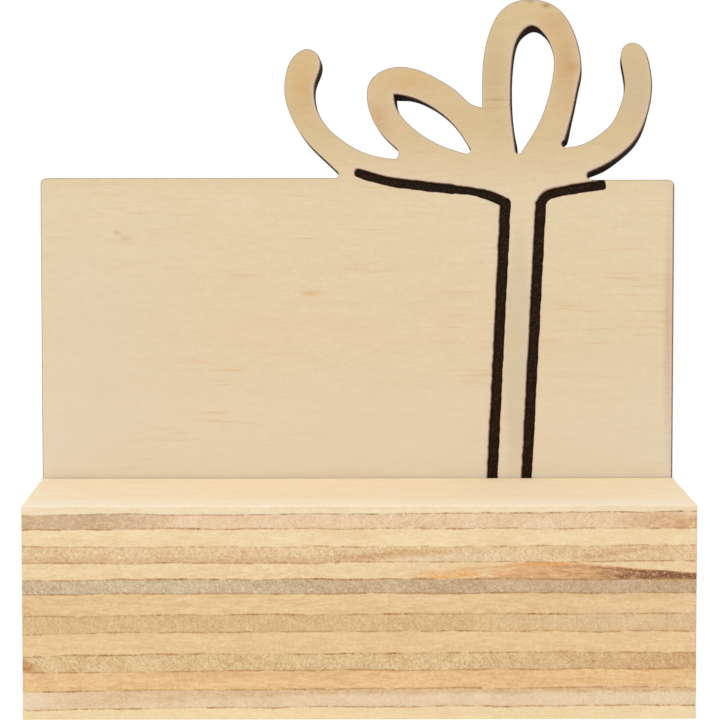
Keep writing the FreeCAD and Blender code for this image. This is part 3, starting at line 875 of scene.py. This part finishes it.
def curveThrough(points, spacing):
    # natural cubic spline by chord length: the bends at the points solve one set of linear equations
    given = np.array(points, float)
    at = runAlong(given)
    gap = np.diff(at)
    slope = np.diff(given, axis=0) / gap[:, None]
    system = np.eye(len(given))
    inner = np.arange(1, len(given) - 1)
    system[inner, inner - 1] = gap[:-1]
    system[inner, inner] = 2 * (gap[:-1] + gap[1:])
    system[inner, inner + 1] = gap[1:]
    change = np.zeros_like(given)
    change[1:-1] = 6 * np.diff(slope, axis=0)
    bend = np.linalg.solve(system, change)
    where = np.linspace(0, at[-1], max(4, int(at[-1] / spacing)) + 1)
    span = np.clip(np.searchsorted(at, where, side="right") - 1, 0, len(gap) - 1)
    step = (where - at[span])[:, None]
    width = gap[span][:, None]
    first = slope[span] - width * (2 * bend[span] + bend[span + 1]) / 6
    return given[span] + step * first + step ** 2 * bend[span] / 2 + step ** 3 * (
        bend[span + 1] - bend[span]) / (6 * width)


def arcThrough(start, middle, end, spacing):
    # points on the circle through three points, from the first to the last. As complex numbers a, b and c
    # with w = (c - a) / (b - a), its centre is a + (b - a) (w - |w| squared) / (2j times w's imaginary part)
    a, b, c = (complex(*point) for point in (start, middle, end))
    w = (c - a) / (b - a)
    centre = (b - a) * (w - abs(w) ** 2) / (2j * w.imag) + a
    radius = abs(a - centre)
    first = np.angle(a - centre)
    swing = np.angle((b - centre) / (a - centre)) + np.angle((c - centre) / (b - centre))
    count = max(4, int(abs(swing) * radius / spacing))
    turn = first + swing * np.linspace(0, 1, count + 1)
    return np.column_stack([centre.real + radius * np.cos(turn), centre.imag + radius * np.sin(turn)])


def runPoints(points):
    # two points are joined by a straight run, three by an arc and more by a smooth curve
    if len(points) == 2:
        ends = np.array(points, float)
        count = max(1, int(np.hypot(*(ends[1] - ends[0])) / panel["straightStep"]))
        share = np.linspace(0, 1, count + 1)[:, None]
        return ends[0] * (1 - share) + ends[1] * share
    if len(points) == 3:
        return arcThrough(*points, panel["arcStep"])
    return curveThrough(points, panel["edgeStep"])


def joinRuns(runs):
    # the runs' points one after the other, each without its last, which starts the next one
    return np.concatenate([runPoints(run)[:-1] for run in runs])


def wound(loop, sense):
    # the loop anticlockwise for sense 1 and clockwise for -1, as the front shows it. Twice its area is the
    # sum of each x times the next z less the next x times z
    following = np.roll(loop, -1, 0)
    area = (loop[:, 0] * following[:, 1] - following[:, 0] * loop[:, 1]).sum()
    return loop if area * sense > 0 else loop[::-1]


def outerOutline(footCuts):
    # the panel's outline clockwise from its lower left, as the front shows it
    radius, reach = panel["cornerRadius"], panel["cornerRadius"] / 2 ** 0.5
    leftIn, rightIn = panel["left"] + radius, panel["right"] - radius
    leftTop, rightTop = panel["top"] - radius, panel["shoulder"] - radius
    start = bowPoint(bowStart)
    runs = [[(panel["left"], panel["foot"]), (panel["left"], leftTop)],
            [(panel["left"], leftTop), (leftIn - reach, leftTop + reach), (leftIn, panel["top"])],
            [(leftIn, panel["top"]), start]]
    for shares in bowRuns:
        stretch = [bowPoint(share) for share in shares]
        runs.append([start] + stretch)
        start = stretch[-1]
    notchFoot = (panel["bowLeft"] + bowEndFoot * panel["bowWidth"], panel["shoulder"])
    runs += [[start, bowPoint(bowEnd), notchFoot],
             [notchFoot, (rightIn, panel["shoulder"])],
             [(rightIn, panel["shoulder"]), (rightIn + reach, rightTop + reach), (panel["right"], rightTop)],
             [(panel["right"], rightTop), (panel["right"], panel["foot"])]]
    foot = np.linspace(panel["right"], panel["left"] + radius, panel["footPoints"])
    foot = np.unique(np.round(np.concatenate([foot, footCuts]), 6))[::-1]
    footRow = np.column_stack([foot, np.full(len(foot), panel["foot"])])
    return wound(np.concatenate([joinRuns(runs), footRow]), -1)


def holeOutlines():
    # the holes' outlines anticlockwise, as the front shows them
    return [wound(joinRuns([[bowPoint(share) for share in run] for run in hole]), 1)
            for hole in (smallHole, bigHole)]


def sideOf(path, along, hand, half, run, seed):
    # one side of a path: half a width across it, with small waves
    waves = sum(height * ripple(run, length, seed + added) for height, length, added in panel["lineWaves"])
    across = hand * np.column_stack([-along[:, 1], along[:, 0]])
    return path + across * (half + waves)[:, None]


def bluntEnd(head, along, half, bluntness):
    # the head's end: a half circle whose coordinates are raised to a power, squarer as that gets smaller
    swing = np.radians(np.linspace(90, 270, 11)[1:-1])
    circle = np.column_stack([np.cos(swing), np.sin(swing)])
    blunt = np.sign(circle) * np.abs(circle) ** bluntness
    across = np.array([-along[0, 1], along[0, 0]])
    return head[0] + half * (blunt[:, :1] * along[0] + blunt[:, 1:] * across)


def cutAtFoot(side):
    # a side's points down to the panel's foot, with a last point where it crosses the foot
    last = np.argmin(side[:, 1] > panel["foot"] + panel["footGap"])
    share = (panel["foot"] - side[last - 1, 1]) / (side[last, 1] - side[last - 1, 1])
    cut = np.round(side[last - 1] + (side[last] - side[last - 1]) * share, 6)
    cut[1] = panel["foot"]
    return np.concatenate([side[:last], [cut]])


def ribbonBands(line, seed):
    # a ribbon line's rim and its floor's edge. The head is a smooth curve with a blunt end, and the leg
    # is straight and runs out of the panel's foot. The outer side goes round the turn on an arc, and the
    # inner side turns where the head's side crosses the leg's
    head = curveThrough([bowPoint(share) for share in line["shares"]], panel["headStep"])
    turn = head[-1]
    fall = turn[1] - panel["foot"] + panel["legOverrun"]
    down = np.array([-line["drift"], block["top"] - turn[1]])
    down /= np.hypot(*down)
    legRun = np.arange(panel["legStart"], fall, panel["legStep"])
    leg = turn + down * legRun[:, None]
    along = np.gradient(head, axis=0)
    along /= np.hypot(*along.T)[:, None]
    legAlong = np.repeat(down[None], len(leg), 0)
    headRun = runAlong(head)
    places, swells = zip(*line["swell"])
    swell = np.interp((head[:, 0] - panel["bowLeft"]) / panel["bowWidth"], places, swells)
    outer = 1 if along[-1, 0] * down[1] - along[-1, 1] * down[0] < 0 else -1
    bands = []
    for inset in (0.0, panel["lineSlope"]):
        sides = {}
        for hand in (1, -1):
            headHalf, legHalf = (panel["headWidth"] + swell) / 2 - inset, panel["legWidth"] / 2 - inset
            headSide = sideOf(head, along, hand, headHalf, headRun, seed + hand)
            legSide = sideOf(leg, legAlong, hand, legHalf, legRun + panel["legWavesFrom"], seed + hand)
            if hand == outer:
                begin = np.arctan2(*(headSide[-1] - turn)[::-1])
                end = np.arctan2(*(legSide[0] - turn - down * panel["legStart"])[::-1])
                swing = (end - begin + np.pi) % (2 * np.pi) - np.pi
                angles = begin + swing * np.linspace(0, 1, 7)[1:]
                corner = turn + legHalf * np.column_stack([np.cos(angles), np.sin(angles)])
            else:
                away = (headSide - turn) @ (hand * np.array([-down[1], down[0]])) - legHalf
                last = np.argmax(away < 0)
                share = away[last - 1] / (away[last - 1] - away[last])
                corner = (headSide[last - 1] * (1 - share) + headSide[last] * share)[None]
                headSide = headSide[:last - 1]
                legSide = legSide[(legSide - corner[0]) @ down > panel["cornerGap"]]
            side = np.concatenate([headSide, corner, legSide])
            sides[hand] = cutAtFoot(side)
        cap = bluntEnd(head, along, headHalf[0], line["bluntness"])
        bands.append(wound(np.concatenate([sides[1][::-1], cap, sides[-1]]), 1))
    return bands


def fillArea(loops, extra, floors=()):
    # triangles inside the first loop and outside the holes, through the extra points. Gives the points,
    # triangles, the place of each loop's points among them, and which points lie on the sunk floors
    everything = np.concatenate([*loops, *floors, extra])
    starts = np.cumsum([0] + [len(loop) for loop in [*loops, *floors]])
    rings = [list(range(starts[i], starts[i + 1])) for i in range(len(starts) - 1)]
    turned = [rings[0][::-1]] + rings[1:]
    found = delaunay_2d_cdt(everything.tolist(), [], turned, 1, 1e-5, True)
    points = np.array(found[0])
    holes = set(range(1, len(loops)))
    keep = [0 in inside and holes.isdisjoint(inside) for inside in found[5]]
    triangles = np.array([face for face, wanted in zip(found[2], keep) if wanted])
    origin = np.full(len(everything), -1)
    counts = np.fromiter(map(len, found[3]), int)
    flat = np.fromiter(chain.from_iterable(found[3]), int)
    origin[flat] = np.repeat(np.arange(len(points)), counts)
    sunk = np.zeros(len(points), bool)
    floorFaces = np.array([any(i >= len(loops) + 1 and (i - len(loops)) % 2 for i in inside)
                           for inside, wanted in zip(found[5], keep) if wanted])
    if len(floors):
        inner = np.concatenate([np.arange(starts[len(loops) + i], starts[len(loops) + i + 1])
                                for i in range(1, len(floors), 2)])
        onFloor = np.unique(triangles[floorFaces])
        sunk[onFloor] = True
        sunk[origin[inner]] = True
    loopPlaces = [origin[ring] for ring in rings[:len(loops)]]
    used, renumbered = np.unique(triangles, return_inverse=True)
    place = np.full(len(points), -1)
    place[used] = np.arange(len(used))
    return (points[used], renumbered.reshape(-1, 3), [place[ring] for ring in loopPlaces], sunk[used])


def edgeDistance(points, loops, limit=1.5):
    # least distance from each point to the loops' segments, and the direction square to that segment,
    # into the wood. The points go in slices along x, each set against the segments near it, and what is
    # further than the limit counts as at it
    starts = np.concatenate(loops)
    ends = np.concatenate([np.roll(loop, -1, 0) for loop in loops])
    order = np.argsort(points[:, 0])
    distance, direction = np.full(len(points), limit), np.zeros((len(points), 2))
    for part in np.array_split(order, max(1, len(points) // 250)):
        near = (starts[:, 0] > points[part[0], 0] - limit) & (starts[:, 0] < points[part[-1], 0] + limit)
        start, reach = starts[near], (ends - starts)[near]
        if len(start):
            offset = points[part][:, None] - start
            share = np.clip((offset * reach).sum(2) / np.maximum((reach ** 2).sum(1), 1e-9), 0, 1)
            gap = ((offset - share[:, :, None] * reach) ** 2).sum(2)
            nearest = gap.argmin(1)
            distance[part] = np.minimum(np.sqrt(gap.min(1)), limit)
            picked = reach[nearest]
            direction[part] = np.column_stack([picked[:, 1], -picked[:, 0]]) / np.hypot(*picked.T)[:, None]
    return distance, direction


def leaned(points, depth):
    # front points carried back along the leaning cut: right by the drift and down by the drop, both in
    # proportion to the depth, with the wobbles added in bell curves round their spots
    through = np.broadcast_to(np.asarray(depth, float) / (panel["back"] - panel["front"]), len(points))
    room = (block["right"] - points[:, 0]) / panel["driftFade"]
    drift, drop = panel["cutDrift"] * np.minimum(room, 1), np.full(len(points), panel["cutDrop"])
    for spotX, spotZ, reach, added, lost in panel["wobbles"]:
        near = np.exp(-((points[:, 0] - spotX) ** 2 + (points[:, 1] - spotZ) ** 2) / reach ** 2)
        drift, drop = drift + added * near, drop - lost * near
    x = points[:, 0] + drift * through
    z = points[:, 1] - drop * through * (points[:, 1] > panel["foot"] + 1e-4)
    return np.column_stack([x, panel["front"] + np.broadcast_to(depth, len(points)), z])


def offsetPoints(loops, away):
    # points a set distance to both sides of the loops, to be thinned by their real distance
    made = []
    for loop in loops:
        along = np.roll(loop, -1, 0) - np.roll(loop, 1, 0)
        along /= np.maximum(np.hypot(*along.T), 1e-9)[:, None]
        across = np.column_stack([-along[:, 1], along[:, 0]])
        made += [loop + across * away, loop - across * away]
    return np.concatenate(made)


def facePoints(loops, bands):
    # points for a face's mesh: rings beside every cut, and a grid over the rest
    low, high = loops[0].min(0), loops[0].max(0)
    rings = [(offsetPoints(loops + bands, away)[::every], away) for away, every in panel["rings"]]
    step = panel["meshStep"]
    gridX, gridZ = np.meshgrid(np.arange(low[0] + step / 2, high[0], step),
                               np.arange(low[1] + step / 2, high[1], step))
    gridX[::2] += step / 2
    rings.append((np.column_stack([gridX.ravel(), gridZ.ravel()]), panel["gridAway"]))
    kept = []
    for candidates, away in rings:
        distance = edgeDistance(candidates, loops + bands)[0]
        kept.append(candidates[distance > away * panel["nearest"]])
    return np.concatenate(kept)


def buildVeneer(name, material, loops, denseFront=None, denseBack=None, bands=()):
    # two faces filled inside the outline, and a wall that leans from one to the other. Burn and smoke fall
    # off with the distance from the cut, and reach furthest where the wood lies up and left of it
    low, high = (packedEdge(name, corner, 1) - panel["front"] for corner in (0, 1))
    nothing = np.zeros((0, 2))
    hidden = fillArea(loops, nothing)
    shown = fillArea(loops, denseFront, bands) if denseFront is not None else hidden
    rear = fillArea(loops, denseBack) if denseBack is not None else hidden
    frontPoints = leaned(shown[0], low + np.where(shown[3], panel["lineDepth"], 0.0))
    if denseFront is not None:
        frontPoints[:, [0, 2]] = shown[0]
    rearPoints = leaned(rear[0], np.full(len(rear[0]), high))
    points = [frontPoints, rearPoints]
    offset = len(frontPoints)
    faces = shown[1].tolist() + (rear[1][:, ::-1] + offset).tolist()
    offset += len(rearPoints)
    for loop, frontRing, rearRing in zip(loops, shown[2], rear[2]):
        here = np.arange(len(loop))
        there = (here + 1) % len(loop)
        rows = [frontRing]
        for share in panel["wallRows"]:
            points.append(frontPoints[frontRing] * (1 - share) + rearPoints[rearRing] * share)
            rows.append(offset + here)
            offset += len(loop)
        rows.append(rearRing + len(frontPoints))
        for upper, lower in zip(rows[:-1], rows[1:]):
            faces += np.stack([upper[here], upper[there], lower[there], lower[here]], 1).tolist()
    char, smoke = np.ones(offset), np.zeros(offset)
    for filled, first, cuts in ((shown, 0, loops + list(bands)), (rear, len(frontPoints), loops)):
        distance, direction = edgeDistance(filled[0], cuts)
        upLeft = np.clip(direction @ np.array(panel["smokeSide"]), 0, 1)
        burn = smoothStep(distance, panel["burnReach"] + panel["burnMore"] * upLeft, 0.0)
        part = slice(first, first + len(filled[0]))
        char[part] = np.maximum(burn, filled[3])
        smoke[part] = (0.25 + 0.75 * upLeft) * np.exp(-distance / panel["smokeReach"])
    return makePiece("wood_" + name, np.concatenate(points), faces, {"char": char, "smoke": smoke}, material,
                     "panel", [name], sharp=35)


def veneerMaterial(name, look, marks=()):
    # long grain under the laser's burn. A veneer with marks is the face: its bow is a deeper tan, its foot
    # is a little paler, and short warm dashes gather in loose patches
    material, tree, shader, place = newMaterial(name)
    along = stretched(tree, place, (1, 1, 1), (0.0, math.radians(look["turn"]), 0.0))
    grain = useGroup(tree, longGrain, {
        "Vector": along, "Pale": tone(look["pale"]), "Deep": tone(look["deep"]), "Bands": 0.25,
        "Streaks": 0.4, "Seed": look["seed"]})
    colour = grain["Color"]
    if marks:
        rise = addNode(tree, "SeparateXYZ", {}, {0: place}).outputs[2]
        bow = between(tree, rise, panel["bowTone"][0] * mm, panel["bowTone"][1] * mm)
        colour = tinted(tree, bow, colour, tone(panelTones["bow"]))
        foot = between(tree, rise, panel["footTone"][1] * mm, panel["footTone"][0] * mm, 0.6, 0.0)
        colour = mixColour(tree, foot, colour, tone(panelTones["foot"]))
        dashes = drawnCloud(tree, place, (85, 85, 1300), 0.56, 0.7, 3, 0.6, 0.3)
        patches = cloud(tree, stretched(tree, place, (28, 28, 44)))
        patches = between(tree, patches, 0.44, 0.62, 0.1, 0.55)
        colour = mixColour(tree, calc(tree, "MULTIPLY", dashes, patches), colour, tone(panelTones["dash"]))
    for x, z, halfWidth, halfHeight, core, shade, strength in marks:
        mask = useGroup(tree, softMark, {
            "Vector": place, "Centre": (x * mm, panel["front"] * mm, z * mm),
            "Size": (halfWidth * mm, 1.0, halfHeight * mm), "Rag": 0.5, "Core": core})["Mask"]
        colour = mixColour(tree, calc(tree, "MULTIPLY", mask, strength), colour, tone(shade))
    burn = useGroup(tree, scorch, {
        "Vector": place, "Color": colour, "Char": readMark(tree, "char"),
        "Smoke": calc(tree, "MULTIPLY", readMark(tree, "smoke"), look["smoke"]),
        "Brown": tone(look["brown"]), "Black": tone(look["black"])})
    height = calc(tree, "MULTIPLY_ADD", burn["Height"], 1.2, calc(tree, "MULTIPLY", grain["Height"], 0.4))
    roughness = between(tree, burn["Burnt"], 0.0, 1.0, 0.6, 0.85)
    shader.inputs["Specular IOR Level"].default_value = 0.1
    finishSurface(tree, shader, burn["Color"], roughness, height, 0.00004)
    return material


bands = [band for number, line in enumerate(ribbonLines) for band in ribbonBands(line, 40 + 200 * number)]
footCuts = np.concatenate([[band[0, 0], band[-1, 0]] for band in bands])
outline = outerOutline(footCuts)
loops = [outline] + holeOutlines()
frontPoints = facePoints(loops, bands)
backPoints = facePoints(loops, [])
print("stage: panel outline has", len(outline), "points, face", len(frontPoints))

faceMaterial = veneerMaterial("panel veneer", veneerLooks["front"], panelMarks)
coreMaterial = veneerMaterial("panel core", veneerLooks["core"])
backMaterial = veneerMaterial("panel back veneer", veneerLooks["back"])
buildVeneer("panel_front_veneer", faceMaterial, loops, denseFront=frontPoints, bands=bands)
buildVeneer("panel_core", coreMaterial, loops)
buildVeneer("panel_back_veneer", backMaterial, loops, denseBack=backPoints)
print("stage: panel made")


# The floor and the lamp, in metres and watts
studio = {
    "floorSize": 4.0,
    "floorColour": (252, 252, 252),
    "floorSeen": 0.985,        # how much of the floor's look is plain white
    "worldLight": 0.70,
    "keyPower": 5.7,
    "keySize": 0.7,
    "keyPlace": (-0.35, -0.75, 0.95),
    "aim": (0.0, 0.0, 0.05),
}

view = {
    "place": (-3.95, -455.75, 93.43),
    "down": 3.991,             # turns in degrees
    "right": 0.531,
    "roll": 0.009,
    "sensor": 36.0,
    "lens": 147.63,
    "shift": -0.09,
    "nearest": 0.01,           # what it sees lies between these, in metres
    "furthest": 50.0,
}


def seenDirectly(tree):
    # 1 for what the camera sees, straight, mirrored or through glass
    rays = tree.nodes.new("ShaderNodeLightPath").outputs
    seen = calc(tree, "MAXIMUM", rays["Is Camera Ray"], rays["Is Glossy Ray"])
    return calc(tree, "MAXIMUM", seen, rays["Is Transmission Ray"])


def buildFloor():
    half = studio["floorSize"] / 2
    mesh = bpy.data.meshes.new("floor")
    corners = [(-half, -half, 0), (half, -half, 0), (half, half, 0), (-half, half, 0)]
    mesh.from_pydata(corners, [], [(0, 1, 2, 3)])
    floor = bpy.data.objects.new("floor", mesh)
    bpy.context.scene.collection.objects.link(floor)
    material = bpy.data.materials.new("pale floor")
    material.use_nodes = True
    tree = material.node_tree
    paint = tree.nodes["Principled BSDF"]
    paint.inputs["Base Color"].default_value = tone(studio["floorColour"])
    paint.inputs["Roughness"].default_value = 0.9
    glow = addNode(tree, "Emission", {}, {"Color": white, "Strength": 1.0})
    share = calc(tree, "MULTIPLY", seenDirectly(tree), studio["floorSeen"])
    mixed = addNode(tree, "MixShader", {}, {0: share, 1: paint.outputs[0], 2: glow.outputs[0]})
    tree.links.new(mixed.outputs[0], tree.nodes["Material Output"].inputs["Surface"])
    mesh.materials.append(material)


def buildWorld():
    world = bpy.data.worlds.new("studio")
    bpy.context.scene.world = world
    world.use_nodes = True
    tree = world.node_tree
    sky = tree.nodes["Background"]
    sky.inputs["Color"].default_value = white
    strength = mixValue(tree, seenDirectly(tree), studio["worldLight"], 1.0)
    tree.links.new(strength, sky.inputs["Strength"])


def buildLamp(name, place, size, power):
    light = bpy.data.lights.new(name, "AREA")
    light.shape, light.size, light.energy = "SQUARE", size, power
    lamp = bpy.data.objects.new(name, light)
    lamp.location = place
    lamp.rotation_euler = (Vector(place) - Vector(studio["aim"])).to_track_quat("Z", "Y").to_euler()
    bpy.context.scene.collection.objects.link(lamp)


def buildCamera():
    camera = bpy.data.objects.new("camera", bpy.data.cameras.new("camera"))
    camera.location = Vector(view["place"]) * mm
    turns = (90 - view["down"], view["roll"], -view["right"])
    camera.rotation_euler = [math.radians(turn) for turn in turns]
    camera.data.sensor_width = view["sensor"]
    camera.data.lens = view["lens"]
    camera.data.shift_y = view["shift"]
    camera.data.clip_start, camera.data.clip_end = view["nearest"], view["furthest"]
    bpy.context.scene.collection.objects.link(camera)
    bpy.context.scene.camera = camera


buildFloor()
buildWorld()
buildLamp("key light", studio["keyPlace"], studio["keySize"], studio["keyPower"])
buildCamera()
bpy.context.scene.view_settings.view_transform = "Standard"
print("stage: floor, light and camera set")
